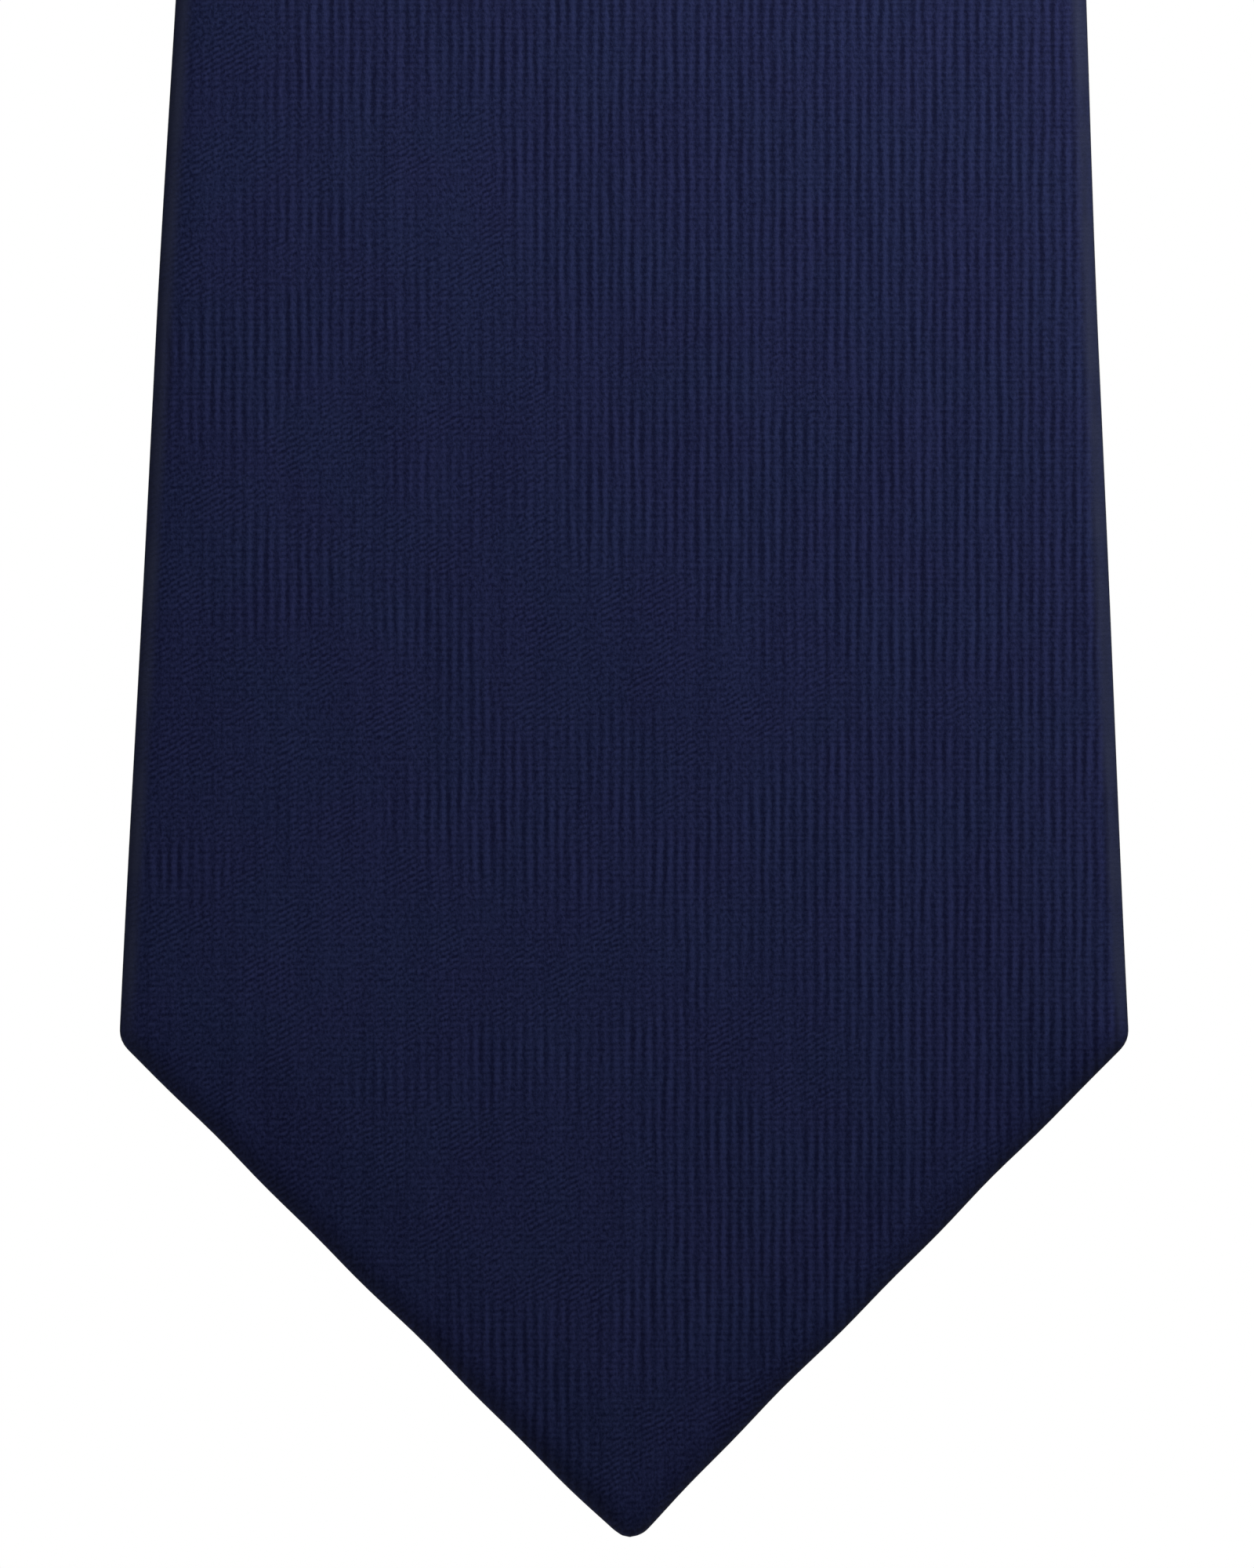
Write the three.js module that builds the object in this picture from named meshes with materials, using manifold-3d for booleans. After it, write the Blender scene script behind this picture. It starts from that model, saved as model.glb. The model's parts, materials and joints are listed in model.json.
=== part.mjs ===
// A gentleman's necktie, hanging over a round wardrobe rail that isn't part of it.
// Millimetres, +Z up. The origin is where the neck rests on top of the rail.
// The wide front blade hangs on the -Y side with its good face to -Y, the tail on the +Y side.
// The cloth is soft, so the long pieces are cut through where the tie is made to bend.

import * as THREE from "three";
import { mergeVertices } from "three/addons/utils/BufferGeometryUtils.js";
import Module from "manifold-3d";

const wasm = await Module();
wasm.setup();

// The rail that the tie hangs on, and the neck over it
const railRadius = 16;
const neckWidth = 33;
const neckHingeDrop = 38;

// The two ends. Drops are measured down from the top of the rail, heights up from the end's tip.
// Each side runs from the neck to the shoulder as one curve, bent towards the width at bendHeight.
const front = {
  drop: 805,
  width: 85,
  bendWidth: 43,
  bendHeight: 477,
  seamDrop: 96,
  foldHeight: 375,
  hem: 9,
  openingHeight: 125,
  tippingHeight: 150,
};
const tail = {
  drop: 675,
  width: 40,
  bendWidth: 34,
  bendHeight: 250,
  seamDrop: 200,
  foldHeight: 310,
  hem: 5,
  openingHeight: 70,
  tippingHeight: 90,
};
const shoulderRounding = 1.1;
const tipRounding = 2.5;
const seamAngle = THREE.MathUtils.degToRad(45);

// Layers, from the good face inwards: cloth, interlining, tipping, cloth
const clearance = 0.3;
const clothWall = 0.5;
const interliningThickness = 1.2;
const tippingThickness = 0.4;
const edgeRoll = 1.5;
const liningEase = 0.5;
const liningInset = clothWall + liningEase + clearance;
const bandThickness = 2 * clothWall + interliningThickness + tippingThickness + 3 * clearance;
const tippingDepth = clothWall + interliningThickness + 2 * clearance;

// The centre back seam and its one long thread
const slitWidth = 1.8;
const threadRadius = 0.25;
const stitchPitch = 15;
const stitchSway = 0.25;
const seamThickness = 0.4;
const bendGap = 0.4;

// Tacks and loops of thread
const tackRadius = 0.6;
const barTackLength = 7;
const loopRadius = 2.2;
const loopStretch = 1.8;
const loopThread = 0.35;
const loopBelowTack = 15;

// The keeper loop on the back of the front blade, which takes the tail when the tie is worn
const keeperHeight = 12;
const keeperSpan = 54;
const keeperFoot = 5;
const keeperStandoff = 5;
const keeperCloth = 1.2;
const keeperTipHeight = 290;
const keeperTackLength = 10;

// Labels, blank, on the back of the front blade
const labelWidth = 44;
const labelHeight = 18;
const labelThickness = 0.5;
const labelAboveKeeper = 8;
const labelStitchLength = 14;
const labelStitchInset = 1.5;
const careWidth = 24;
const careHeight = 24;
const careThickness = 0.4;
const careBelowKeeper = 14;
const careStitchLength = 20;
const careStitchRise = 1.5;
const stitchRadius = 0.3;

const bandOuter = railRadius + bandThickness;
const backFace = bandThickness;

// How finely round stretches are cut into facets
const curveSteps = 10;
const rollSteps = 2;
const tackCapSteps = 2;
const tackSides = 8;
const loopThreadSides = 6;
const loopSteps = 20;

// Longer than the tie, for the blocks that cut it
const reach = 2000;

const material = (color, roughness) => new THREE.MeshStandardMaterial({ color, roughness, metalness: 0 });

function toSolid(geometry) {
  geometry.deleteAttribute("normal");
  geometry.deleteAttribute("uv");
  const merged = mergeVertices(geometry);
  return new wasm.Manifold(new wasm.Mesh({
    numProp: 3,
    vertProperties: merged.getAttribute("position").array,
    triVerts: Uint32Array.from(merged.getIndex().array),
  }));
}

function toGeometry(solid) {
  const mesh = solid.getMesh();
  const geometry = new THREE.BufferGeometry();
  geometry.setAttribute("position", new THREE.BufferAttribute(mesh.vertProperties, 3));
  geometry.setIndex(new THREE.BufferAttribute(mesh.triVerts, 1));
  geometry.computeVertexNormals();
  return geometry;
}

function named(name, geometry, finish) {
  const mesh = new THREE.Mesh(geometry, finish);
  mesh.name = name;
  return mesh;
}

// Extrudes an outline, with its edges rolled, and its sides moved in by inset
function extruded(outline, depth, roll = 0, inset = 0) {
  return new THREE.ExtrudeGeometry(outline, {
    depth: depth - 2 * roll,
    curveSegments: curveSteps,
    bevelEnabled: roll > 0,
    bevelThickness: roll,
    bevelSize: roll,
    bevelOffset: -roll - inset,
    bevelSegments: rollSteps,
  }).translate(0, 0, roll);
}

// A flat layer of a hanging end. The outline is in X and Z, and the layer lies behind the good
// face from the depth near to the depth far, along +Y.
function layer(outline, near, far, roll = 0, inset = 0) {
  const geometry = extruded(outline, far - near, roll, inset);
  geometry.rotateX(Math.PI / 2);
  geometry.translate(0, far, 0);
  return geometry;
}

// Removes what lies above or below a plane at a drop, tilted across the width for a bias seam
function halfSpace(drop, tilt, side) {
  const box = new THREE.BoxGeometry(reach, reach, reach);
  box.translate(0, 0, side * reach / 2);
  box.rotateY(tilt);
  box.translate(0, 0, -drop);
  return toSolid(box);
}
const keepBelow = (solid, drop, tilt = 0) => solid.subtract(halfSpace(drop, tilt, 1));
const keepAbove = (solid, drop, tilt = 0) => solid.subtract(halfSpace(drop, tilt, -1));

// The plan of one end: a pointed blade whose sides narrow up to the neck
function bladeOutline(end, inset = 0) {
  const half = end.width / 2 - inset;
  const neckHalf = neckWidth / 2 - inset;
  const bendHalf = end.bendWidth / 2 - inset;
  const tip = -end.drop + inset * Math.SQRT2;
  const shoulder = tip + half;
  const bend = -end.drop + end.bendHeight;
  const tipStep = tipRounding * Math.SQRT1_2;
  const shoulderStep = shoulderRounding * Math.SQRT1_2;
  const outline = new THREE.Shape();
  outline.moveTo(-neckHalf, -railRadius);
  outline.lineTo(-neckHalf, -end.seamDrop);
  outline.quadraticCurveTo(-bendHalf, bend, -half, shoulder + shoulderRounding);
  outline.quadraticCurveTo(-half, shoulder, -half + shoulderStep, shoulder - shoulderStep);
  outline.lineTo(-tipStep, tip + tipStep);
  outline.quadraticCurveTo(0, tip, tipStep, tip + tipStep);
  outline.lineTo(half - shoulderStep, shoulder - shoulderStep);
  outline.quadraticCurveTo(half, shoulder, half, shoulder + shoulderRounding);
  outline.quadraticCurveTo(bendHalf, bend, neckHalf, -end.seamDrop);
  outline.lineTo(neckHalf, -railRadius);
  return outline;
}

// The kite left open on the back, where the tipping shows between the hems and the laps
function openingOutline(end) {
  const tip = -end.drop;
  const side = end.width / 2 - end.hem;
  const outline = new THREE.Shape();
  outline.moveTo(0, tip + end.hem * Math.SQRT2);
  outline.lineTo(side, tip + side + end.hem * Math.SQRT2);
  outline.lineTo(0, tip + end.openingHeight);
  outline.lineTo(-side, tip + side + end.hem * Math.SQRT2);
  return outline;
}

// The whole folded cloth of one end, hollow, open down the centre back and at the tip's back
function endCloth(end) {
  const outline = bladeOutline(end);
  const innerFace = bandThickness - clothWall;
  const slitFoot = -end.drop + end.openingHeight - 2 * slitWidth;
  const slit = new THREE.BoxGeometry(slitWidth, 2 * clothWall, end.drop);
  slit.translate(0, bandThickness, slitFoot + end.drop / 2);
  return toSolid(layer(outline, 0, bandThickness, edgeRoll))
    .subtract(toSolid(layer(outline, clothWall, innerFace, edgeRoll - clothWall, clothWall)))
    .subtract(toSolid(slit))
    .subtract(toSolid(layer(openingOutline(end), innerFace - clearance / 2, bandThickness + clearance)));
}

// Cuts the cloth of one end into the neck's end, the bias seam, and the blade above and below the fold
function endPieces(end) {
  const cloth = endCloth(end);
  const fold = end.drop - end.foldHeight;
  const hinge = neckHingeDrop + bendGap / 2;
  const seamHalf = seamThickness / 2 / Math.cos(seamAngle);
  const seamClear = seamHalf + clearance / Math.cos(seamAngle);
  const band = (solid, from, to, tilt = 0) => keepAbove(keepBelow(solid, from, tilt), to, tilt);
  return {
    neckEnd: keepAbove(keepBelow(cloth, hinge), end.seamDrop - seamClear, seamAngle),
    seam: band(cloth, end.seamDrop - seamHalf, end.seamDrop + seamHalf, seamAngle),
    upper: keepAbove(keepBelow(cloth, end.seamDrop + seamClear, seamAngle), fold - bendGap / 2),
    lower: keepBelow(cloth, fold + bendGap / 2),
  };
}

function interlining(end) {
  const near = clothWall + clearance;
  return toSolid(layer(bladeOutline(end, liningInset), near, near + interliningThickness));
}

function tipping(end) {
  const sheet = toSolid(layer(bladeOutline(end, liningInset), tippingDepth, tippingDepth + tippingThickness));
  return keepBelow(sheet, end.drop - end.tippingHeight);
}

// A run of the slip stitch thread down the centre back, swaying from one lap to the other
function slipStitch(fromDrop, toDrop) {
  const count = Math.round((toDrop - fromDrop) / stitchPitch);
  const points = [];
  for (let i = 0; i <= count; i++) {
    const sway = i % 2 ? stitchSway : -stitchSway;
    const drop = THREE.MathUtils.lerp(fromDrop, toDrop, i / count);
    points.push(new THREE.Vector3(sway, backFace - clothWall / 2, -drop));
  }
  return thread(new THREE.CatmullRomCurve3(points), count);
}

function thread(path, steps) {
  const section = new THREE.Shape();
  section.moveTo(threadRadius, 0);
  section.lineTo(0, threadRadius);
  section.lineTo(-threadRadius, 0);
  section.lineTo(0, -threadRadius);
  return new THREE.ExtrudeGeometry(section, { steps, extrudePath: path });
}

// A short bar of thread, upright or across, that sits on the back face or on what is sewn there
function tack(radius, length, across) {
  const geometry = new THREE.CapsuleGeometry(radius, length - 2 * radius, tackCapSteps, tackSides);
  return across ? geometry.rotateZ(Math.PI / 2) : geometry.rotateX(Math.PI / 2);
}

// The neck over the rail: a band bent round it, extruded across the width
function archBand(inner, outer, width, roll = 0, inset = 0) {
  const profile = new THREE.Shape();
  const legEnd = -neckHingeDrop - edgeRoll - bendGap;
  profile.moveTo(-outer, legEnd);
  profile.lineTo(-outer, -railRadius);
  profile.absarc(0, -railRadius, outer, Math.PI, 0, true);
  profile.lineTo(outer, legEnd);
  profile.lineTo(inner, legEnd);
  profile.absarc(0, -railRadius, inner, 0, Math.PI, false);
  profile.lineTo(-inner, legEnd);
  const geometry = extruded(profile, width, roll, inset);
  geometry.translate(0, 0, -width / 2);
  const toWorld = new THREE.Matrix4().makeBasis(
    new THREE.Vector3(0, 1, 0),
    new THREE.Vector3(0, 0, 1),
    new THREE.Vector3(1, 0, 0),
  );
  return toSolid(geometry.applyMatrix4(toWorld));
}

function neckArch() {
  const hinge = neckHingeDrop - bendGap / 2;
  const outside = archBand(railRadius, bandOuter, neckWidth, edgeRoll);
  const hollowWidth = neckWidth - 2 * clothWall;
  const hollow = archBand(railRadius + clothWall, bandOuter - clothWall, hollowWidth, edgeRoll - clothWall);
  const slit = archBand(railRadius - clothWall, railRadius + clothWall + clearance / 2, slitWidth);
  const ends = halfSpace(hinge, 0, -1);
  const liningOuter = bandOuter - clothWall - clearance;
  const lining = archBand(liningOuter - interliningThickness, liningOuter, neckWidth - 2 * liningInset);
  return {
    cloth: outside.subtract(hollow).subtract(slit).subtract(ends),
    lining: lining.subtract(ends),
  };
}

// The slip stitch round the neck, on the side that lies against the rail
function neckStitch() {
  const radius = railRadius + clothWall / 2;
  const leg = neckHingeDrop - bendGap / 2 - railRadius;
  const length = 2 * leg + Math.PI * radius;
  const count = Math.round(length / stitchPitch) * 2;
  const points = [];
  for (let i = 0; i <= count; i++) {
    const along = length * i / count;
    const sway = i % 2 ? stitchSway : -stitchSway;
    points.push(pointOnArch(along, leg, radius, sway));
  }
  return thread(new THREE.CatmullRomCurve3(points), 2 * count);
}

function pointOnArch(along, leg, radius, x) {
  const arc = Math.PI * radius;
  if (along < leg) return new THREE.Vector3(x, -radius, -railRadius - leg + along);
  if (along > leg + arc) return new THREE.Vector3(x, radius, -railRadius - (along - leg - arc));
  const angle = (along - leg) / radius;
  return new THREE.Vector3(x, -radius * Math.cos(angle), -railRadius + radius * Math.sin(angle));
}

function keeperLoop() {
  const foot = backFace + clearance;
  const bridge = foot + keeperStandoff;
  const half = keeperSpan / 2;
  const rise = half - keeperFoot;
  const top = rise - keeperCloth;
  const profile = new THREE.Shape();
  profile.moveTo(-half, foot);
  profile.lineTo(-rise, foot);
  profile.lineTo(-top, bridge);
  profile.lineTo(top, bridge);
  profile.lineTo(rise, foot);
  profile.lineTo(half, foot);
  profile.lineTo(half, foot + keeperCloth);
  profile.lineTo(rise + keeperCloth / 2, foot + keeperCloth);
  profile.lineTo(top + keeperCloth / 2, bridge + keeperCloth);
  profile.lineTo(-top - keeperCloth / 2, bridge + keeperCloth);
  profile.lineTo(-rise - keeperCloth / 2, foot + keeperCloth);
  profile.lineTo(-half, foot + keeperCloth);
  return extruded(profile, keeperHeight).translate(0, 0, -keeperHeight / 2);
}

const silk = () => material(0x1b203e, 0.55);
const wool = () => material(0xd8d4c8, 0.95);
const lining = () => material(0x1c2140, 0.35);
const stitching = () => material(0x20264a, 0.6);
const tape = () => material(0x23284a, 0.5);
const careTape = () => material(0xd9d7cf, 0.6);

// The neck, which rests on the rail and holds everything else
const arch = neckArch();
const neck = new THREE.Group();
neck.add(named("neck_shell_arch", toGeometry(arch.cloth), silk()));
neck.add(named("neck_interlining", toGeometry(arch.lining), wool()));
neck.add(named("slip_stitch_neck", neckStitch(), stitching()));

// What both ends have, in the end's own frame: good face at y = 0, back towards +Y
function buildEnd(name, end) {
  const group = new THREE.Group();
  const pieces = endPieces(end);
  const wadding = interlining(end);
  const fold = end.drop - end.foldHeight;
  const tackDrop = end.drop - end.openingHeight;
  const loopDrop = tackDrop + loopBelowTack;
  group.add(named(`neck_shell_${name}_end`, toGeometry(pieces.neckEnd), silk()));
  group.add(named(`${name}_piecing_seam`, toGeometry(pieces.seam), stitching()));
  group.add(named(`${name}_shell_upper`, toGeometry(pieces.upper), silk()));
  group.add(named(`${name}_shell_lower`, toGeometry(pieces.lower), silk()));

  const hinge = neckHingeDrop + bendGap / 2;
  const waddingUpper = keepAbove(keepBelow(wadding, hinge), fold - bendGap / 2);
  group.add(named(`${name}_interlining_upper`, toGeometry(waddingUpper), wool()));
  const waddingLower = keepBelow(wadding, fold + bendGap / 2);
  group.add(named(`${name}_interlining_lower`, toGeometry(waddingLower), wool()));
  group.add(named(`${name}_tipping`, toGeometry(tipping(end)), lining()));

  const stitchUpper = slipStitch(hinge, fold - bendGap / 2);
  group.add(named(`slip_stitch_${name}_upper`, stitchUpper, stitching()));
  const stitchLower = slipStitch(fold + bendGap / 2, tackDrop - tackRadius);
  group.add(named(`slip_stitch_${name}_lower`, stitchLower, stitching()));

  const barTack = named(`${name}_bar_tack`, tack(tackRadius, barTackLength, true), stitching());
  barTack.position.set(0, backFace + clearance + tackRadius, -tackDrop);
  group.add(barTack);

  const ring = new THREE.TorusGeometry(loopRadius, loopThread, loopThreadSides, loopSteps).rotateX(Math.PI / 2);
  ring.scale(1, 1, loopStretch);
  const loop = named(`${name}_thread_loop`, ring, stitching());
  loop.position.set(0, tippingDepth + tippingThickness + clearance + loopThread, -loopDrop);
  group.add(loop);
  return group;
}

const frontEnd = buildEnd("front", front);
frontEnd.position.y = -bandOuter;

const tailEnd = buildEnd("tail", tail);
tailEnd.position.y = bandOuter;
tailEnd.rotation.z = Math.PI;

// The keeper and the labels, sewn to the back of the front blade
const keeperDrop = front.drop - keeperTipHeight;
const keeper = named("keeper_loop", keeperLoop(), silk());
keeper.position.z = -keeperDrop;
frontEnd.add(keeper);

const onKeeperFoot = backFace + keeperCloth + 2 * clearance + tackRadius;
for (const [side, x] of [["left", -1], ["right", 1]]) {
  const foot = named(`keeper_tack_${side}`, tack(tackRadius, keeperTackLength, false), stitching());
  foot.position.set(x * (keeperSpan - keeperFoot) / 2, onKeeperFoot, -keeperDrop);
  frontEnd.add(foot);
}

const labelDrop = keeperDrop - keeperHeight / 2 - labelAboveKeeper - labelHeight / 2;
const labelBox = new THREE.BoxGeometry(labelWidth, labelThickness, labelHeight);
const label = named("maker_label", labelBox, tape());
label.position.set(0, backFace + clearance + labelThickness / 2, -labelDrop);
frontEnd.add(label);

const onLabel = backFace + 2 * clearance + labelThickness + stitchRadius;
for (const [side, x] of [["left", -1], ["right", 1]]) {
  const row = named(`label_stitch_${side}`, tack(stitchRadius, labelStitchLength, false), stitching());
  row.position.set(x * (labelWidth / 2 - labelStitchInset), onLabel, -labelDrop);
  frontEnd.add(row);
}

// The care label hangs by its top edge, on a stitched strip that stays with the blade
const careDrop = keeperDrop + keeperHeight / 2 + careBelowKeeper;
const careBox = new THREE.BoxGeometry(careWidth, careThickness, careHeight).translate(0, 0, -careHeight / 2);
const care = named("care_label", careBox, careTape());
care.position.set(0, backFace + clearance + careThickness / 2, -careDrop);
frontEnd.add(care);

const careStitch = named("care_label_stitch", tack(stitchRadius, careStitchLength, true), stitching());
careStitch.position.set(0, backFace + clearance + stitchRadius, -careDrop + careStitchRise);
frontEnd.add(careStitch);

const necktie = new THREE.Group();
necktie.add(neck, frontEnd, tailEnd);

export default necktie;
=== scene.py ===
# A gentleman's necktie of navy ribbed silk, hanging over a rail by its neck.
# Everything is in metres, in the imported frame: +Z up, the front blade's good face to -Y.

import json
import math

import bpy
import numpy as np
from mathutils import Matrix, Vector


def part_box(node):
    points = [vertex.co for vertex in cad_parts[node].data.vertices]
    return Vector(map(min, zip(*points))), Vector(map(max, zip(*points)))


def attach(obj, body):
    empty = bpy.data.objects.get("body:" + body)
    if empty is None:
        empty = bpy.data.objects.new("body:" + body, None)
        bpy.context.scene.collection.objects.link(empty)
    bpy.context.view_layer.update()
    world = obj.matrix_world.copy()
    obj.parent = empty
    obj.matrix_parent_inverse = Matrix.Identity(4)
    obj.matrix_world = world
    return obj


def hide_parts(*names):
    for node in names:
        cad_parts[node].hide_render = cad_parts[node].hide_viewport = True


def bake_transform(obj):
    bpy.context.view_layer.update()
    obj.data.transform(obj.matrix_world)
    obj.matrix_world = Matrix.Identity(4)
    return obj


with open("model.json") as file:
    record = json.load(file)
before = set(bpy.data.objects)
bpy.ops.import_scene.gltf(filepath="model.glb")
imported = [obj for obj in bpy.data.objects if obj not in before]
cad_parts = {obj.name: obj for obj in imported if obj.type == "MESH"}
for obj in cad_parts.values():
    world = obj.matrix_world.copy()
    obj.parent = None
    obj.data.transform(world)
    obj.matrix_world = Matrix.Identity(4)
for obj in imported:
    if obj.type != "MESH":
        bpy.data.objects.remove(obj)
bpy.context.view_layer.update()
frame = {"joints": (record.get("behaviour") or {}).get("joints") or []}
joints = {joint["name"]: joint for joint in frame["joints"]}

MM = 0.001
ROOT_HALF = math.sqrt(0.5)

# ---------------------------------------------------------------- sizes taken from the frame

blade_low, blade_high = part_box("front_shell_lower")
tail_low, tail_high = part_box("tail_shell_lower")
OUTER = -blade_low.y
THICK = blade_high.y - blade_low.y
RAIL = OUTER - THICK
NECK_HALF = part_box("neck_shell_arch")[1].x

# ---------------------------------------------------------------- sizes of the cloth

ROLL_WIDTH = 2.6 * MM
ROLL_DEPTH = THICK / 2
CLOTH = 0.3 * MM
TIP_SOFT = 2.2 * MM
SHOULDER_SOFT = 0.8 * MM
TIP_BLUNT = 0.88 * MM
SIDE_PROUD = 0.2 * MM
POINT_PROUD = 0.1 * MM
EDGE_PRESS = 0.26
PRESS_WIDTH = 9 * MM
TURN = 0.35 * MM
TURN_UNDER = 5 * MM
LAP_OVER = 1 * MM
LAP_UNDER = 7 * MM
LAP_SINK = 0.85 * MM
NECK_CROWN = 0.25 * MM
BLADE_CROWN = 0.45 * MM
ARCH_END = RAIL + 1 * MM
NECK_BEND = 18 * MM
FOLD_BEND = 15 * MM
INNER_SPLIT = 150 * MM
SEAM_SINK = 0.35 * MM
SEAM_WIDTH = 0.9 * MM
CROWN_REACH = 150 * MM
UNEVENNESS = 0.16 * MM
UNEVEN_REACH = 120 * MM


def middle(node):
    low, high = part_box(node)
    return (low + high) / 2


def smoothstep(value, low, high):
    t = np.clip((value - low) / (high - low), 0, 1)
    return t * t * (3 - 2 * t)


def soft_min(a, b, width):
    overlap = np.clip(width - np.abs(a - b), 0, None) / width
    return np.minimum(a, b) - overlap * overlap * width / 4


def ripple(x, z, seed):
    """A slow unevenness between -1 and 1, as pressed cloth has."""
    total = 0
    for i, (across, along) in enumerate(((31, 83), (19, 47), (53, 29), (13, 21))):
        phase = seed * 1.7 + i * 2.1
        sideways = np.sin(x / (across * MM) * math.tau / 2 + phase)
        upwards = np.sin(z / (along * MM) * math.tau / 2 + phase * 1.3)
        total += sideways * upwards
    return total / 4


class End:
    """One hanging end of the tie. Its own x runs across, depth inwards from the good face, and z up."""

    def __init__(self, facing, tip, half, bend_half, bend_height, seam, fold, opening, hem, over):
        self.facing = facing
        self.tip = tip
        self.shoulder_half = half
        self.seam = seam
        self.fold = fold
        self.opening = opening
        self.hem = hem
        self.over = over
        t = np.linspace(0, 1, 200)
        ends = [(NECK_HALF, seam), (bend_half, tip + bend_height), (half, tip + half)]
        curve = sum(
            np.outer(share, point)
            for share, point in zip(((1 - t) ** 2, 2 * t * (1 - t), t * t), np.array(ends))
        )
        self.side_curve = curve[::-1]

    def side_half(self, z):
        return np.interp(z, self.side_curve[:, 1], self.side_curve[:, 0])

    def edge_distance(self, x, z):
        """How far inside the outline a point is."""
        height = z - self.tip
        point = soft_min((height + x) * ROOT_HALF, (height - x) * ROOT_HALF, TIP_SOFT)
        return soft_min(self.side_half(z) + SIDE_PROUD - np.abs(x), point + POINT_PROUD, SHOULDER_SOFT)

    def half(self, z, inset=0.0):
        """The half width at each height, where the distance to the outline falls to inset."""
        inside = np.zeros_like(z)
        outside = self.side_half(z) + ROLL_WIDTH
        for _ in range(40):
            trial = (inside + outside) / 2
            within = self.edge_distance(trial, z) > inset
            inside = np.where(within, trial, inside)
            outside = np.where(within, outside, trial)
        return inside

    def lowest(self):
        return self.tip + (TIP_SOFT / 4 - POINT_PROUD) / ROOT_HALF

    def free_edge(self, z, overlap):
        """Where a lap's free edge lies, from the centre line towards its own side."""
        height = z - self.tip
        hem = self.hem / ROOT_HALF
        corner = self.shoulder_half - self.hem
        corner_height = corner + hem
        top = self.opening - self.tip
        along_hem = np.maximum(height - hem, 0)
        along_lap = np.maximum(corner * (top - height) / (top - corner_height), -overlap)
        return np.where(height < corner_height, along_hem, along_lap)

    def place(self, x, depth, z):
        """Puts points of this end in the frame. The folded edges near the point are pressed thinner."""
        near = 1 - smoothstep(self.edge_distance(x, z), 0, PRESS_WIDTH)
        low = 1 - smoothstep((z - self.tip) / self.shoulder_half, 4, 9)
        depth = THICK / 2 + (depth - THICK / 2) * (1 - EDGE_PRESS * near * low)
        y = self.facing * (OUTER - depth)
        return np.stack([-self.facing * x, y, z], -1)

    def sway(self, x, z, half):
        """The small leans of a hand-pressed blade, which never lies quite true."""
        height = z - self.tip
        if self.facing > 0:
            return x
        lean = 0.25 * MM * np.exp(-((height / (5 * MM)) ** 2))
        lean -= 0.25 * MM * np.exp(-(((height - 47 * MM) / (30 * MM)) ** 2))
        rising = smoothstep(height, 100 * MM, 145 * MM)
        lean += 0.45 * MM * rising * (1 - smoothstep(height, 180 * MM, 400 * MM))
        side = np.sign(x)
        wobble = 0.14 * MM * np.sin(height / (1.9 * MM) + side) * np.sin(height / (5.3 * MM) + 2 * side)
        wobble *= (np.abs(x) / np.maximum(half, MM)) ** 3 * (1 - smoothstep(height, 32 * MM, 44 * MM))
        return x + lean + wobble


def make_end(name, facing, low, high, bend_half, bend_height, hem, over):
    return End(
        facing=facing,
        tip=low.z - TIP_BLUNT,
        half=high.x,
        bend_half=bend_half,
        bend_height=bend_height,
        seam=middle(f"{name}_piecing_seam").z,
        fold=joints[f"{name}_fold"]["pos_m"][2],
        opening=middle(f"{name}_bar_tack").z,
        hem=hem,
        over=over,
    )


front = make_end(
    "front", -1, blade_low, blade_high, bend_half=21.5 * MM, bend_height=477 * MM, hem=9 * MM, over=1
)
tail = make_end(
    "tail", 1, tail_low, tail_high, bend_half=17 * MM, bend_height=250 * MM, hem=5 * MM, over=-1
)

# ---------------------------------------------------------------- the folded cloth

ROLL_STEPS = 7
LAP_STEPS = 18
FACE_STEPS = 60
TURN_STEPS = 4
UNDER_STEPS = 2


def section_columns():
    """The columns of the folded strip, from one free edge round the good face to the other."""
    side = [("under", 1 - i / UNDER_STEPS) for i in range(UNDER_STEPS)]
    side += [("turn", 1 - i / TURN_STEPS) for i in range(TURN_STEPS)]
    side += [("lap", 1 - i / LAP_STEPS) for i in range(LAP_STEPS)]
    side += [("back", 1 - i / ROLL_STEPS) for i in range(ROLL_STEPS)]
    side += [("roll", i / ROLL_STEPS) for i in range(ROLL_STEPS)]
    face = [("face", -1 + 2 * i / FACE_STEPS) for i in range(FACE_STEPS + 1)]
    left = [(kind, -1, t) for kind, t in side]
    right = [(kind, 1, t) for kind, t in reversed(side)]
    return left + [(kind, 0, t) for kind, t in face] + right


COLUMNS = section_columns()
SHEET_BACK = np.array([kind in ("under", "turn", "lap", "back") for kind, _, _ in COLUMNS])
COLUMN_SIDE = np.array([side for _, side, _ in COLUMNS])


def inward(kind, side, t):
    """The way into the fold from a column, as x and depth."""
    lean = t * math.pi / 2 if kind in ("roll", "back") else 0
    return -side * math.sin(lean), math.cos(lean) * (-1 if kind in ("under", "turn", "lap", "back") else 1)


INWARD = np.array([inward(*column) for column in COLUMNS])


def roll_depth(distance):
    """How far the good face has turned back, at a distance inside the folded edge."""
    t = 1 - np.clip(distance / ROLL_WIDTH, 0, 1)
    return ROLL_DEPTH * (1 - np.sqrt(np.clip(1 - t * t, 0, 1)))


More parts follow.
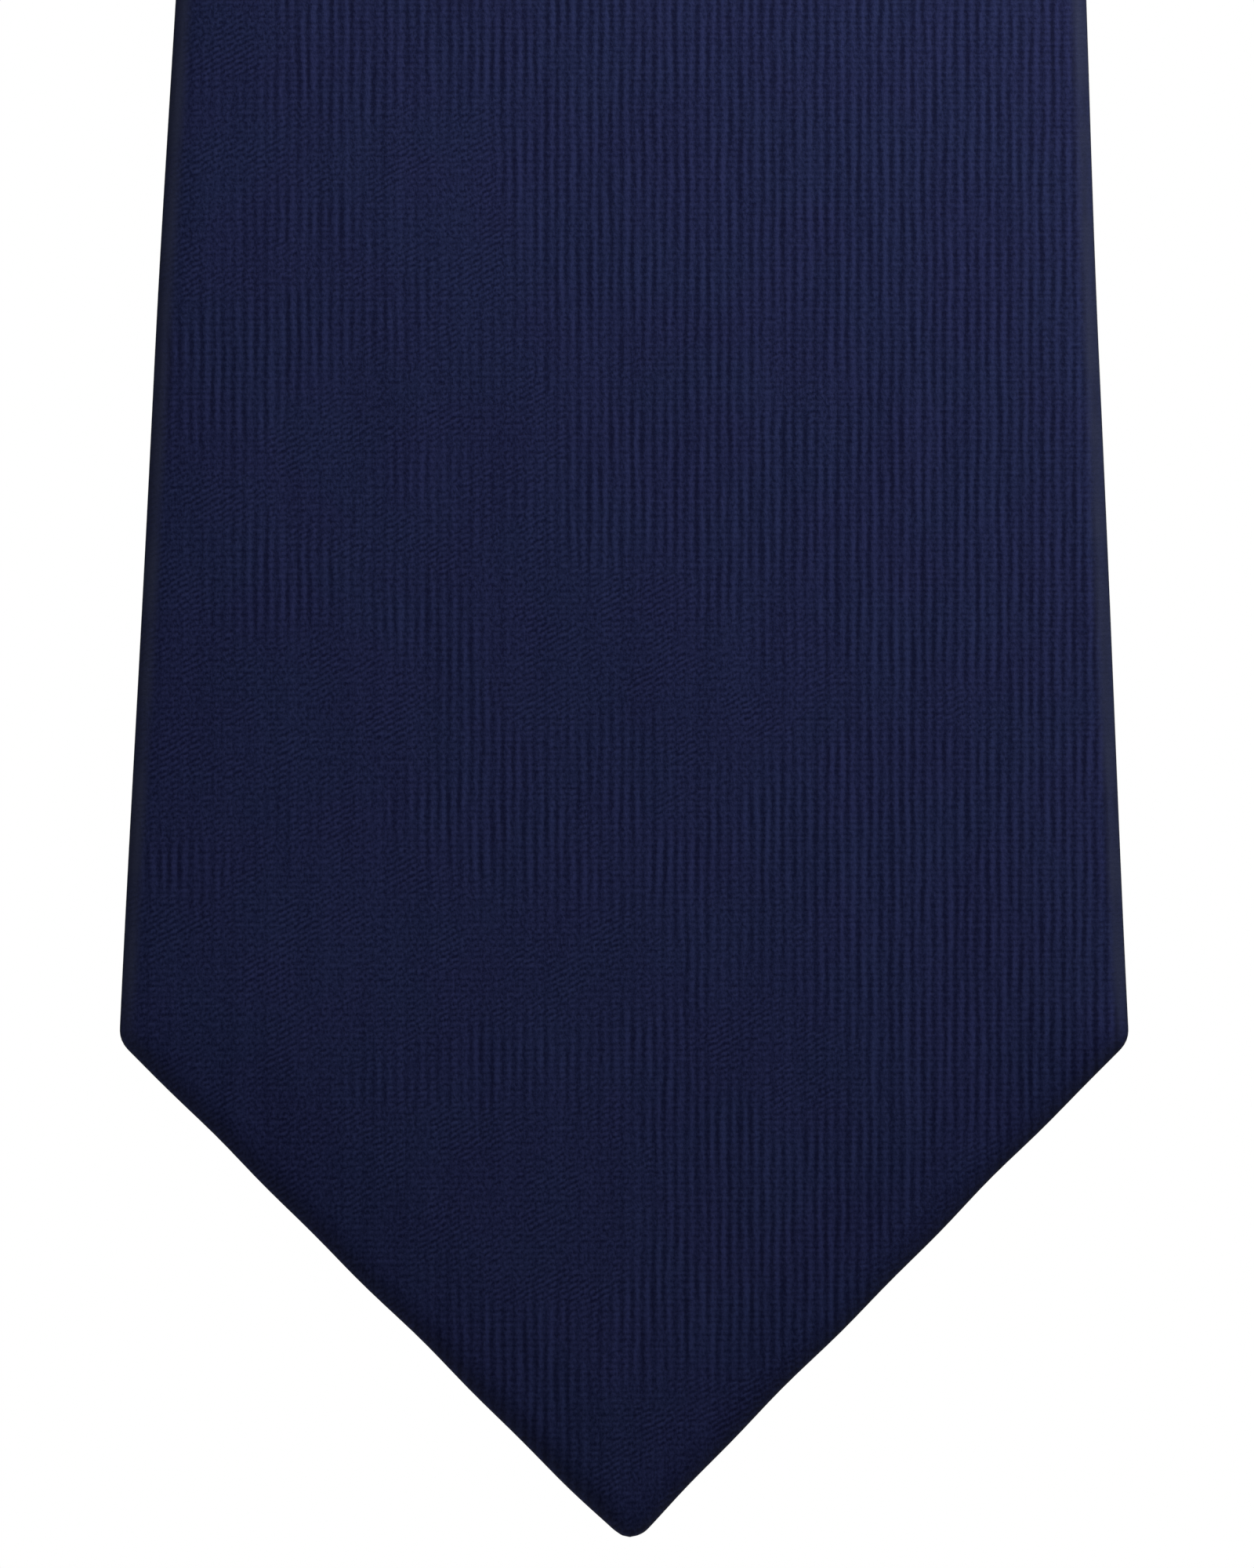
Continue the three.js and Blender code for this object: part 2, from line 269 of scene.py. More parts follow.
def fold_section(end, z):
    """x and depth of the folded cloth at heights z, one column of the section for each column of z."""
    half = end.half(z)
    step = 0.05 * MM
    slope = np.clip(end.edge_distance(np.maximum(half - step, 0), z) / step, 0.5, 1)
    roll = np.minimum(ROLL_WIDTH / slope, 0.45 * half)
    below_seam = smoothstep(-z, -end.seam, -end.seam + CROWN_REACH)
    crown = NECK_CROWN + (BLADE_CROWN - NECK_CROWN) * below_seam
    unevenness = UNEVENNESS * smoothstep(-z, -end.seam, -end.seam + UNEVEN_REACH)
    x = np.zeros_like(z)
    depth = np.zeros_like(z)
    for c, (kind, side, t) in enumerate(COLUMNS):
        w, r, height = half[:, c], roll[:, c], z[:, c]
        if kind == "face":
            x[:, c] = (w - r) * t
        elif kind in ("roll", "back"):
            x[:, c] = side * (w - r * (1 - math.cos(t * math.pi / 2)))
        if kind in ("face", "roll"):
            inside = end.edge_distance(x[:, c], height)
            puff = crown[:, c] * (1 - (x[:, c] / np.maximum(w, MM)) ** 2)
            puff += unevenness[:, c] * ripple(x[:, c], height, 1) * np.clip(inside / (4 * MM), 0, 1)
            depth[:, c] = roll_depth(inside) - puff
            continue
        over = side == end.over
        free = end.free_edge(height, LAP_OVER if over else LAP_UNDER)
        room = w - r - free
        turn = np.minimum(TURN, 0.12 * room)
        own = w - r * (1 - math.cos(t * math.pi / 2))
        drop = np.zeros_like(own)
        if kind == "lap":
            own = free + turn + (room - turn) * (1 - t)
        elif kind == "turn":
            angle = (1 - t) * math.pi
            own = free + turn - turn * math.sin(angle)
            drop = turn * (1 + math.cos(angle))
        elif kind == "under":
            own = free + turn + np.minimum(TURN_UNDER, 0.6 * room) * t
            drop = 2 * turn
        back = THICK - roll_depth(end.edge_distance(np.abs(own), height))
        covered = smoothstep(height, end.opening, end.opening + 20 * MM)
        if not over:
            back = back - LAP_SINK * covered * (1 - smoothstep(own, -1 * MM, 9 * MM))
        back = back + unevenness[:, c] * 0.7 * ripple(own, height, 3) * np.clip((w - own) / (6 * MM), 0, 1)
        x[:, c] = side * own
        depth[:, c] = back - drop
    return end.sway(x, z, half), depth, half


def fold_uvs(end, x, z, half):
    """The lie of the weave: upright on the good face, mirrored where the cloth folds back at a side
    or at the point. The last result says which columns fold back at the point."""
    sign = np.where(COLUMN_SIDE == 0, np.sign(x), COLUMN_SIDE)
    own = sign * x
    good = np.stack([x, z], -1)
    side = np.stack([sign * (2 * half - own), z], -1)
    point = np.stack([sign * (z - end.tip), end.tip + own], -1)
    height = z - end.tip
    at_point = (height - own) * ROOT_HALF < half - own
    return good, side, point, at_point & (height < end.shoulder_half * 1.2)


def quads(rows, columns):
    r, c = np.meshgrid(np.arange(rows - 1), np.arange(columns - 1), indexing="ij")
    first = (r * columns + c).ravel()
    return np.stack([first, first + 1, first + 1 + columns, first + columns], -1)


def new_mesh(name, points, faces, uvs=None):
    mesh = bpy.data.meshes.new(name)
    corners = faces.tolist() if isinstance(faces, np.ndarray) else faces
    mesh.from_pydata(np.asarray(points).reshape(-1, 3).tolist(), [], corners)
    if uvs is not None:
        layer = mesh.uv_layers.new(name="cloth")
        layer.data.foreach_set("uv", np.asarray(uvs, np.float32).ravel())
    mesh.validate()
    mesh.update()
    mesh.shade_smooth()
    thing = bpy.data.objects.new(name, mesh)
    bpy.context.scene.collection.objects.link(thing)
    return thing


def solidify(thing, thickness, offset=-1, share=None):
    """Gives a sheet its thickness, on the side behind its face, or a share of it at each point."""
    shell = thing.modifiers.new("thickness", "SOLIDIFY")
    shell.thickness = thickness
    shell.offset = offset
    shell.use_even_offset = False
    if share is not None:
        group = thing.vertex_groups.new(name="thickness")
        share = np.round(share.ravel(), 2)
        for level in np.unique(share):
            group.add(np.flatnonzero(share == level).tolist(), float(level), "REPLACE")
        shell.vertex_group = group.name
    return thing


def folded_piece(name, end, z, place, v, seam_distance=None):
    """A length of the folded cloth over rows of heights z. place() puts it in the frame, v runs along
    the weave, and seam_distance is how far each row is from a bias seam, where the cloth turns in."""
    x, depth, half = fold_section(end, z)
    if seam_distance is not None:
        sink = SEAM_SINK * (1 - smoothstep(seam_distance, 0, SEAM_WIDTH))[:, None]
        x = x + sink * INWARD[:, 0]
        depth = depth + sink * INWARD[:, 1]
    good, side, point, at_point = fold_uvs(end, x, v, half)
    faces = quads(*z.shape)
    if z[-1, 0] < z[0, 0]:
        faces = faces[:, ::-1]
    columns = z.shape[1]
    back = SHEET_BACK[faces % columns].any(1)
    pointed = at_point.ravel()[faces].mean(1) > 0.5
    layers = [layer.reshape(-1, 2)[faces] for layer in (good, side, point)]
    uvs = np.where(back[:, None, None], np.where(pointed[:, None, None], layers[2], layers[1]), layers[0])
    thing = new_mesh(name, place(x, depth, z), faces, uvs)
    # rim runs from 0 on the good face and the back to 1 at the turn of each folded edge; the silk uses it
    # for a rubbed band that is also painted lighter, and for painted shade at the very edge
    rim = thing.data.attributes.new("rim", "FLOAT", "POINT")
    rim.data.foreach_set("value", (1 - np.abs(depth / THICK * 2 - 1)).astype(np.float32).ravel())
    return solidify(thing, CLOTH, share=np.clip(half / (2 * MM), 0.02, 1))


def unfolded_columns():
    """How far each column lies from the centre of the good face along the cloth, at the neck."""
    x, _, half = fold_section(front, np.full((1, len(COLUMNS)), -ARCH_END))
    x, half = x[0], half[0]
    side = np.sign(x)
    return np.where(SHEET_BACK, side * (2 * half - side * x), x)


def steps(*stops):
    """Positions from stop to stop: each is (position, spacing used up to it)."""
    values = [stops[0][0]]
    for (start, _), (end_at, spacing) in zip(stops, stops[1:]):
        count = max(1, round(abs(end_at - start) / spacing))
        values += [start + (end_at - start) * (i + 1) / count for i in range(count)]
    return np.array(values)


UNFOLDED = unfolded_columns()
SEAM_REACH = 110 * MM
ARCH_STEPS = 48


def seam_line(end):
    return end.seam - UNFOLDED


def neck_end(name, end):
    length = -ARCH_END - end.seam
    rows = steps((0, 0), (length - 2 * SEAM_WIDTH, 2 * MM), (length, SEAM_WIDTH / 4))
    z = -ARCH_END + (seam_line(end)[None, :] + ARCH_END) * (rows / length)[:, None]
    return folded_piece(name, end, z, end.place, z, length - rows)


def blade(name, end):
    shear_end = end.seam - SEAM_REACH
    rows = steps(
        (end.seam, 0),
        (end.seam - 2 * SEAM_WIDTH, SEAM_WIDTH / 4),
        (shear_end, 2.5 * MM),
        (end.fold + FOLD_BEND, 5 * MM),
        (end.fold - FOLD_BEND, 1.5 * MM),
        (end.opening + 20 * MM, 4 * MM),
        (end.tip + end.shoulder_half + 4 * MM, 1.5 * MM),
        (end.tip + end.shoulder_half - 3 * MM, 0.4 * MM),
        (end.tip + 6 * MM, 1.2 * MM),
        (end.tip + 2 * MM, 0.4 * MM),
        (end.lowest(), 0.12 * MM),
    )
    shear = np.clip((rows - shear_end) / (end.seam - shear_end), 0, 1)
    z = rows[:, None] - UNFOLDED[None, :] * shear[:, None]
    return folded_piece(name, end, z, end.place, z, end.seam - rows)


def arch_place(x, depth, along):
    """Wraps a strip over the rail: along is measured from the bottom of the front leg."""
    leg = ARCH_END - RAIL
    radius = OUTER - depth
    angle = np.clip((along - leg) / RAIL, 0, math.pi)
    before = np.minimum(along - leg, 0)
    after = np.maximum(along - leg - math.pi * RAIL, 0)
    y = -radius * np.cos(angle)
    z = -RAIL + radius * np.sin(angle) + before - after
    return np.stack([x, y, z], -1)


def arch_rows():
    """Positions along the strip over the rail: a short straight leg, the half turn, and the other leg."""
    leg = ARCH_END - RAIL
    length = 2 * leg + math.pi * RAIL
    half_turn = leg + np.linspace(0, 1, ARCH_STEPS + 1) * (length - 2 * leg)
    return np.concatenate([[0, leg / 2], half_turn, [length - leg / 2, length]])


def neck_arch(name):
    along = np.repeat(arch_rows()[:, None], len(COLUMNS), 1)
    level = np.full_like(along, -ARCH_END)

    def place(x, depth, z):
        return arch_place(x, depth, along)

    return folded_piece(name, front, level, place, along - ARCH_END)


# ---------------------------------------------------------------- thread

THREAD_RADIUS = 0.16 * MM
THREAD_SIDES = 8
BAR_LENGTH = 7 * MM
KEEPER_TACK = 10 * MM
BAR_HALF_WIDE = 0.5 * MM
BAR_HALF_DEEP = 0.34 * MM


def smooth_path(points, count):
    """A Catmull-Rom curve through points, with count steps between each two."""
    p = np.asarray(points, float)
    p = np.concatenate([2 * p[:1] - p[1:2], p, 2 * p[-1:] - p[-2:-1]])
    t = (np.arange(count) / count)[:, None, None]
    a, b, c, d = (p[None, i:len(p) - 3 + i] for i in range(4))
    square = 2 * a - 5 * b + 4 * c - d
    cube = 3 * b - a - 3 * c + d
    curve = 0.5 * (2 * b + (c - a) * t + square * t**2 + cube * t**3)
    return np.concatenate([curve.transpose(1, 0, 2).reshape(-1, p.shape[1]), p[-2:-1]])


def lengths_along(points):
    """How far along a line each of its points lies."""
    return np.concatenate([[0], np.cumsum(np.linalg.norm(np.diff(points, axis=0), axis=1))])


def tube_sides(rings, count, first, girth, length):
    """The side faces and UVs of a tube of rings with count points each, numbered from first."""
    faces, uvs = [], []
    for r in range(rings - 1):
        low = first + r * count
        high = low + count
        for k in range(count):
            after = (k + 1) % count
            faces.append([low + k, low + after, high + after, high + k])
            near, far = girth[k], girth[k + 1]
            uvs += [(near, length[r]), (far, length[r]), (far, length[r + 1]), (near, length[r + 1])]
    return faces, uvs


def tube_ends(rings, count, first):
    """The two faces that close such a tube."""
    last = first + (rings - 1) * count
    return [list(range(first + count - 1, first - 1, -1)), list(range(last, last + count))]


def across_frames(path):
    """Two directions across a path at each point, carried along it without twisting."""
    tangent = np.gradient(path, axis=0)
    tangent /= np.linalg.norm(tangent, axis=1)[:, None]
    start = np.cross(tangent[0], (0.3, 0.5, 0.8))
    normals = [start / np.linalg.norm(start)]
    for direction in tangent[1:]:
        normal = normals[-1] - direction * (normals[-1] @ direction)
        normals.append(normal / np.linalg.norm(normal))
    normals = np.array(normals)
    return normals, np.cross(tangent, normals)


def threads(name, paths, radius=THREAD_RADIUS):
    """Round threads along some paths, as one mesh."""
    points, faces, uvs = [], [], []
    angle = np.arange(THREAD_SIDES) / THREAD_SIDES * math.tau
    girth = [radius * side * math.tau / THREAD_SIDES for side in range(THREAD_SIDES + 1)]
    for path in paths:
        path = np.asarray(path, float)
        normal, other = across_frames(path)
        rings = normal[:, None] * np.cos(angle)[:, None] + other[:, None] * np.sin(angle)[:, None]
        first = len(points) * THREAD_SIDES
        points.extend(path[:, None] + radius * rings)
        sides, side_uvs = tube_sides(len(path), THREAD_SIDES, first, girth, lengths_along(path))
        faces += sides + tube_ends(len(path), THREAD_SIDES, first)
        uvs += side_uvs + [(0, 0)] * (2 * THREAD_SIDES)
    return new_mesh(name, points, faces, uvs)


SLIP_PITCH = 9 * MM
LOOP_DEPTH = 2.85 * MM
LOOP_CROSSING = 3.15 * MM
SEAM_THREAD = 1.3 * THREAD_RADIUS


def slip_path(over, along):
    """The slip stitch at positions along: it bites over the lap's edge, then runs hidden under the lap.
    Gives x, depth and along. Each row of the shape is x in mm, a depth, and how far along in mm."""
    seam = -over * LAP_OVER
    shape = (
        (-0.9, THICK - 0.85 * MM, 0),
        (-0.55, THICK - 0.5 * MM, 0.25),
        (-0.1, THICK + 0.02 * MM, 0.7),
        (0.45, THICK + 0.14 * MM, 1.3),
        (0.95, THICK - 0.05 * MM, 1.8),
        (1.3, THICK - 0.75 * MM, 2.2),
        (1.2, THICK - 0.85 * MM, 5),
    )
    points = [
        (seam + over * x * MM, depth, start + step * MM * np.sign(along[-1] - along[0]))
        for start in along[:-1]
        for x, depth, step in shape
    ]
    return smooth_path(points, 4)


def stitch_steps(start, stop):
    return np.linspace(start, stop, max(2, round(abs(stop - start) / SLIP_PITCH) + 1))


def slip_stitch(name, over, start, stop, place):
    x, depth, along = slip_path(over, stitch_steps(start, stop)).T
    return threads(name, [place(x, depth, along)])


def whipped_bar(name, end, x, z, length, lift, upright=False):
    """A bar tack: a few threads laid side by side, whipped round with thread from end to end."""
    turns = round(length / (2.1 * THREAD_RADIUS))
    angle = np.linspace(0, turns * math.tau, turns * 12)
    along = np.linspace(-length / 2, length / 2, len(angle))
    across = BAR_HALF_WIDE * np.cos(angle) * (1 + 0.08 * np.sin(angle * 0.37))
    centre = THICK + lift + BAR_HALF_DEEP
    depth = centre + BAR_HALF_DEEP * np.sin(angle)
    core_along = np.linspace(-length / 2 - 0.5 * MM, length / 2 + 0.5 * MM, 24)
    sag = np.clip((np.abs(core_along) - length / 2 + 0.7 * MM) / MM, 0, 1) * 0.9 * MM
    paths = [(along, across, depth)]
    for offset in (-0.22 * MM, 0.22 * MM):
        paths.append((core_along, np.full_like(core_along, offset), centre - sag))
    if upright:
        return threads(name, [end.place(x + b, d, z + a) for a, b, d in paths])
    return threads(name, [end.place(x + a, d, z + b) for a, b, d in paths])


def spare_loop(name, node, end):
    """The spare thread of the slip stitch: it leaves the bar tack and hangs as a loop on the tipping."""
    loop = middle(node).z - end.opening
    low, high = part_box(node)
    size = (high.x - low.x) / 2
    hidden = THICK - 0.6 * MM
    leaving = THICK - 0.1 * MM
    points = [
        (0.3, hidden, 0.4 * MM),
        (0.35, leaving, -1.2 * MM),
        (0.2, 3.0 * MM, loop * 0.35),
        (-0.25, LOOP_DEPTH, loop * 0.62),
        (-1.0, LOOP_DEPTH, loop - 0.6 * size),
        (-0.75, LOOP_DEPTH, loop - 1.45 * size),
        (0.1, LOOP_DEPTH, loop - 1.75 * size),
        (0.85, LOOP_DEPTH, loop - 1.35 * size),
        (0.95, LOOP_DEPTH, loop - 0.4 * size),
        (0.3, LOOP_CROSSING, loop * 0.6),
        (-0.25, LOOP_CROSSING, loop * 0.33),
        (-0.4, leaving, -1.2 * MM),
        (-0.3, hidden, 0.4 * MM),
    ]
    x, depth, z = smooth_path(points, 8).T
    return threads(name, [end.place(x * size, depth, end.opening + z)])


def piecing_seam(name, end):
    """The thread of the bias seam, lying in its groove from one lap's edge round to the other."""
    visible = [c for c, (kind, _, _) in enumerate(COLUMNS) if kind in ("lap", "back", "roll", "face")]
    z = seam_line(end)[None, :]
    x, depth, _ = fold_section(end, z)
    sink = SEAM_SINK + 0.5 * THREAD_RADIUS
    x = (x + sink * INWARD[:, 0])[0, visible]
    depth = (depth + sink * INWARD[:, 1])[0, visible]
    return threads(name, [end.place(x, depth, z[0, visible])], SEAM_THREAD)


# ---------------------------------------------------------------- lining and interlining

END_ROUND = 0.6 * MM
KEEPER_CLOTH = 1.1 * MM
KEEPER_FOOT_IN = 24 * MM
KEEPER_BRIDGE = 19.5 * MM
KEEPER_CROWN = 0.35 * MM
CARE_TOP = 3 * MM
TIPPING_INSET = 1.3 * MM
TIPPING_DEPTH = 2.42 * MM
TIPPING = 0.25 * MM
WOOL_INSET = 2.2 * MM
WOOL_TOP = 2.0 * MM
WOOL = 1.2 * MM
LINING_STEPS = 36
WOOL_STEPS = 12


def flat_sheet(name, end, z, inset, top, thickness, seed, puff, columns=LINING_STEPS):
    """A flat layer inside the folded cloth, seen from the back, over rows of heights z."""
    u = np.linspace(-1, 1, columns + 1)
    height = np.repeat(z[:, None], len(u), 1)
    reach = np.maximum(end.half(height, inset), 0.1 * MM)
    x = reach * u
    inside = np.clip((reach - np.abs(x)) / (6 * MM), 0, 1)
    slow = 0.6 * ripple(x, height, seed)
    quick = 0.3 * ripple(x * 2.3, height * 0.8, seed + 4)
    depth = top + puff * inside * (slow + quick)
    uvs = np.stack([x, height], -1).reshape(-1, 2)
    faces = quads(*height.shape)
    points = end.place(end.sway(x, height, reach), depth, height)
    thing = new_mesh(name, points, faces, uvs[faces])
    return solidify(thing, thickness)


def tipping(name, end):
    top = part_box(name)[1].z
    z = steps((top, 0), (end.tip + end.shoulder_half, 2 * MM), (end.lowest() + 2.2 * MM, 0.8 * MM))
    return flat_sheet(name + "_satin", end, z, TIPPING_INSET, TIPPING_DEPTH, TIPPING, 5, 0.55 * MM)


def interlining(name, end, start, stop, bend):
    rows = steps((start, 0), (bend + 20 * MM, 6 * MM), (bend - 20 * MM, 2 * MM), (stop, 5 * MM))
    return flat_sheet(name, end, rows, WOOL_INSET, WOOL_TOP, WOOL, 9, 0.1 * MM, WOOL_STEPS)


def arch_interlining(name):
    along = arch_rows()
    u = np.linspace(-1, 1, WOOL_STEPS + 1)
    x = np.repeat((NECK_HALF - WOOL_INSET) * u[None, :], len(along), 0)
    rows = np.repeat(along[:, None], len(u), 1)
    faces = quads(*x.shape)
    uvs = np.stack([x, rows], -1).reshape(-1, 2)
    thing = new_mesh(name, arch_place(x, np.full_like(x, WOOL_TOP), rows), faces, uvs[faces])
    return solidify(thing, WOOL, 1)


# ---------------------------------------------------------------- keeper and labels

def swept_band(name, path, section):
    """A closed section of (out, along z) swept along a path of (x, depth) on the front blade's back."""
    path = np.asarray(path, float)
    tangent = np.gradient(path, axis=0)
    tangent /= np.linalg.norm(tangent, axis=1)[:, None]
    normal = np.stack([-tangent[:, 1], tangent[:, 0]], -1)
    length = lengths_along(path)
    closed = np.concatenate([section, section[:1]])
    count = len(section)
    to_end = np.minimum(length, length[-1] - length)
    rounding = np.sqrt(np.clip(1 - np.clip(1 - to_end / END_ROUND, 0, 1) ** 2, 0.03, 1))
    spot = path[:, None] + normal[:, None] * closed[None, :count, :1] * rounding[:, None, None]
    z = np.repeat(closed[None, :count, 1], len(path), 0)
    points = front.place(spot[..., 0], spot[..., 1], z).reshape(-1, 3)
    faces, uvs = tube_sides(len(path), count, 0, lengths_along(closed), length)
    faces += tube_ends(len(path), count, 0)
    uvs += [tuple(point) for point in section[::-1]] + [tuple(point) for point in section]
    return new_mesh(name, points, faces, uvs)


def flat_section(width, thickness, middle_z):
    """A flattened loop of cloth: two flat faces joined by rolled edges."""
    deep = thickness / 2
    half = width / 2 - deep
    turn = np.linspace(-math.pi / 2, math.pi / 2, 10)
    levels = np.linspace(half, -half, 14)[1:-1]
    top = [(deep * math.sin(a), half + deep * math.cos(a)) for a in turn]
    face = [(-deep, z) for z in levels]
    bottom = [(deep * math.sin(a), -half - deep * math.cos(a)) for a in turn]
    back = [(deep, z) for z in -levels]
    ring = np.array(top + face + bottom + back)
    crown = 0.12 * MM * (1 - (ring[:, 1] / (width / 2)) ** 2)
    ring[:, 0] += np.sign(ring[:, 0]) * crown * (np.abs(ring[:, 0]) > thickness * 0.3)
    ring[:, 1] += middle_z
    return ring


def keeper_band(name):
    low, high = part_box("keeper_loop")
    foot = OUTER + low.y + KEEPER_CLOTH / 2
    rise = high.y - low.y - KEEPER_CLOTH
    x = np.concatenate([
        np.linspace(low.x, low.x + END_ROUND, 6),
        np.linspace(low.x + 1.5 * MM, high.x - 1.5 * MM, 80),
        np.linspace(high.x - END_ROUND, high.x, 6),
    ])
    bow = smoothstep(-np.abs(x), -KEEPER_FOOT_IN, -KEEPER_BRIDGE)
    crown = KEEPER_CROWN * (1 - (x / high.x) ** 2)
    path = np.stack([x, foot + (rise - KEEPER_CROWN) * bow + crown * bow], -1)
    return swept_band(name, path, flat_section(high.z - low.z, KEEPER_CLOTH, middle("keeper_loop").z))


STITCH_RADIUS = 0.14 * MM


def tape(name, node, path, top, bottom, rows, wave, thickness):
    """A label: a strip of tape along a path of (x, depth, distance along the tape), from top to bottom."""
    z = np.linspace(top, bottom, rows)
    x, depth, along = (np.repeat(value[None, :], rows, 0) for value in np.asarray(path).T)
    height = np.repeat(z[:, None], len(path), 1)
    depth = depth + wave * (0.5 + 0.5 * ripple(x * 1.7, height * 1.9, 13))
    faces = quads(*height.shape)
    uvs = np.stack([along, height - middle(node).z], -1).reshape(-1, 2)
    thing = new_mesh(name, front.place(x, depth, height), faces, uvs[faces])
    return solidify(thing, thickness)


def maker_label(name):
    """A blank woven label whose two ends are folded under."""
    low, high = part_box("maker_label")
    half = high.x
    face = THICK + 0.55 * MM
    under = THICK + 0.25 * MM
    radius = (face - under) / 2
    turn = np.linspace(0, math.pi, 7)
    right = [(half - radius + radius * math.sin(a), under + radius - radius * math.cos(a)) for a in turn]
    tail_in = [(x, under) for x in np.linspace(half - 4 * MM, half - radius, 4)[:-1]]
    side = np.array(tail_in + right)
    flat = [(x, face) for x in np.linspace(-half + radius, half - radius, 50)[1:-1]]
    mirrored = side * (-1, 1)
    path = np.array(mirrored.tolist() + flat + side[::-1].tolist())
    along = lengths_along(path)
    path = np.column_stack([path, along - along[-1] / 2])
    return tape(name, "maker_label", path, high.z, low.z, 22, 0.12 * MM, 0.2 * MM)


def care_label(name):
    """A blank tape that hangs by its top edge, which is stitched down above the fold."""
    low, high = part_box("care_label")
    x = np.linspace(low.x, high.x, 25)
    path = np.column_stack([x, THICK + (0.45 + 0.25 * (x / high.x) ** 2) * MM, x])
    return tape(name, "care_label", path, high.z + CARE_TOP, low.z, 40, 0.2 * MM, 0.22 * MM)


def stitch_row(name, start, stop, depth, count):
    """Small running stitches from start to stop, each an (x, z) on the front blade's back."""
    t = np.linspace(0, 1, 9)
    rise = 0.3 * MM * np.sin(t * math.pi) ** 0.6 - STITCH_RADIUS
    start, stop = np.array(start), np.array(stop)
    paths = []
    for i in range(count):
        share = (i + 0.1 + 0.78 * t)[:, None] / count
        spot = start + (stop - start) * share
        paths.append(front.place(spot[:, 0], depth + rise, spot[:, 1]))
    return threads(name, paths, STITCH_RADIUS)


def upright_row(name, node, depth, count):
    low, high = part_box(node)
    return stitch_row(name, (middle(node).x, high.z), (middle(node).x, low.z), depth, count)


# ---------------------------------------------------------------- materials

class Graph:
    """A material's node tree, built in a few words."""

    def __init__(self, name):
        self.material = bpy.data.materials.new(name)
        self.material.use_nodes = True
        self.tree = self.material.node_tree
        self.shader = self.tree.nodes["Principled BSDF"]

    def put(self, socket, value):
        if isinstance(value, bpy.types.NodeSocket):
            self.tree.links.new(value, socket)
        else:
            socket.default_value = value

    def node(self, kind, inputs=(), **settings):
        node = self.tree.nodes.new(kind)
        for key, value in settings.items():
            setattr(node, key, value)
        for key, value in dict(inputs).items():
            self.put(node.inputs[key], value)
        return node

    def math(self, operation, a, b=0.0, c=0.0):
        return self.node("ShaderNodeMath", {0: a, 1: b, 2: c}, operation=operation).outputs[0]

    def spread(self, value, low, high, to_low=0.0, to_high=1.0):
        keys = {"Value": value, "From Min": low, "From Max": high, "To Min": to_low, "To Max": to_high}
        return self.node("ShaderNodeMapRange", keys, interpolation_type="SMOOTHSTEP").outputs["Result"]

    def noise(self, vector, scale, detail=2.0, rough=0.5):
        keys = {"Vector": vector, "Scale": scale, "Detail": detail, "Roughness": rough}
        return self.node("ShaderNodeTexNoise", keys).outputs["Fac"]

    def blend(self, share, a, b):
        node = self.node("ShaderNodeMix", {"Factor": share}, data_type="RGBA")
        self.put(node.inputs[6], a)
        self.put(node.inputs[7], b)
        return node.outputs[2]

    def finish(self, **values):
        for key, value in values.items():
            self.put(self.shader.inputs[key.replace("_", " ")], value)
        return self.material


RIB = 0.91
PICK = 0.49
REGION_MIDDLE = -(front.tip + 70 * MM) / (120 * MM)
SILK_DARK = (0.0025, 0.0035, 0.024, 1)
SILK_LIGHT = (0.0165, 0.0212, 0.078, 1)
SILK_DARK_COOL = (0.0015, 0.0045, 0.025, 1)
SILK_LIGHT_COOL = (0.0145, 0.025, 0.077, 1)
# rubbed edge colour, partly wear and partly painted light on the rolled edges
SILK_WORN_AND_LIT = (0.0215, 0.026, 0.058, 1)
# painted shade: the near-black put on the outermost turn of each folded edge
SILK_PAINTED_EDGE_SHADE = (0.002, 0.003, 0.005, 1)


def cloth_coordinates(g):
    """The weave's own coordinates, across and along, in millimetres."""
    uv = g.node("ShaderNodeUVMap", uv_map="cloth").outputs["UV"]
    in_mm = g.node("ShaderNodeVectorMath", {0: uv, "Scale": 1000.0}, operation="SCALE").outputs[0]
    parts = g.node("ShaderNodeSeparateXYZ", {0: in_mm})
    return in_mm, parts.outputs["X"], parts.outputs["Y"]


def bumped(g, height, distance, strength=1.0):
    bump = g.node("ShaderNodeBump", {"Height": height, "Distance": distance, "Strength": strength})
    g.put(g.shader.inputs["Normal"], bump.outputs["Normal"])


def stretched(g, at, across, along):
    return g.node("ShaderNodeVectorMath", {0: at, 1: (across, along, 1)}, operation="MULTIPLY").outputs[0]


